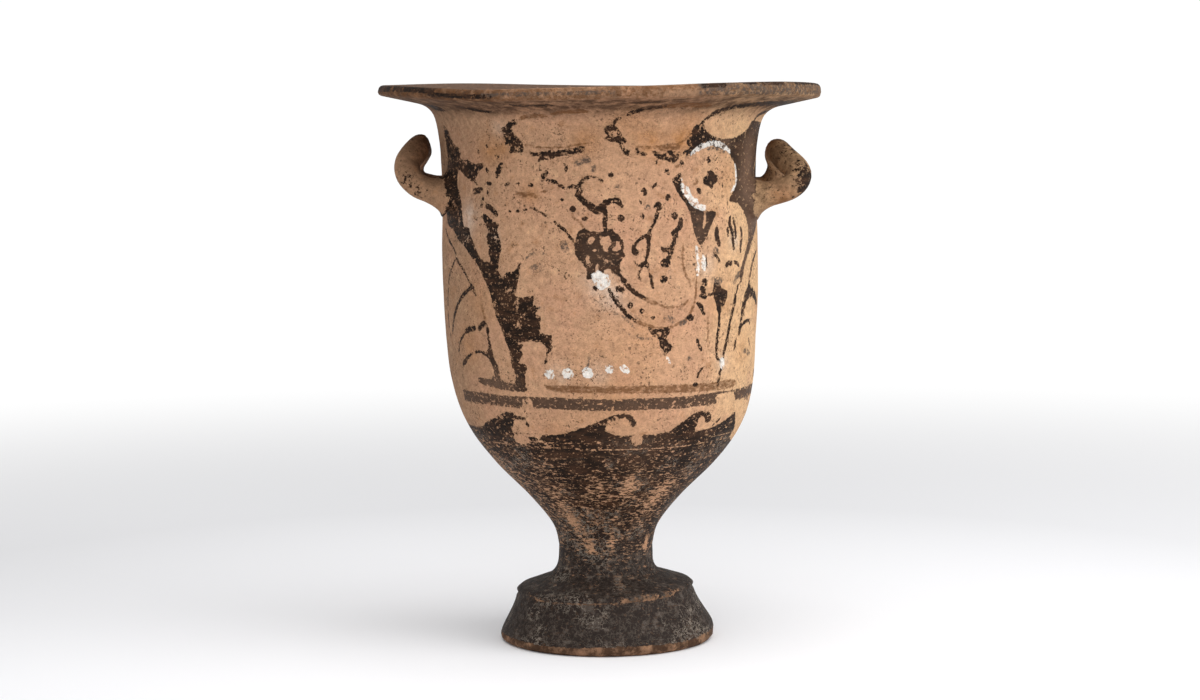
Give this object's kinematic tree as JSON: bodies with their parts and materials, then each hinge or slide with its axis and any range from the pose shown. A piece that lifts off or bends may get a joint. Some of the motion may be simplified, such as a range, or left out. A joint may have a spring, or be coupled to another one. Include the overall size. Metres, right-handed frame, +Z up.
{
  "type": "bell krater",
  "caption": "Footed wine-mixing bowl of fired clay with a wide lip, a bell-shaped body, upturned loop handles at the sides and a moulded foot, painted with a figured scene.",
  "frame": {"origin": "centre of the foot's resting ring, on the surface the vase stands on", "axes": "+Z up through the stem and the mouth, X through both handles, -Y out of the side with the painted head"},
  "size_m": [0.303, 0.303, 0.38],
  "materials": {
    "painted_clay": "matt reserved clay with worn black gloss paint"
  },
  "bodies": {
    "root": {"krater": "painted_clay"}
  },
  "joints": []
}
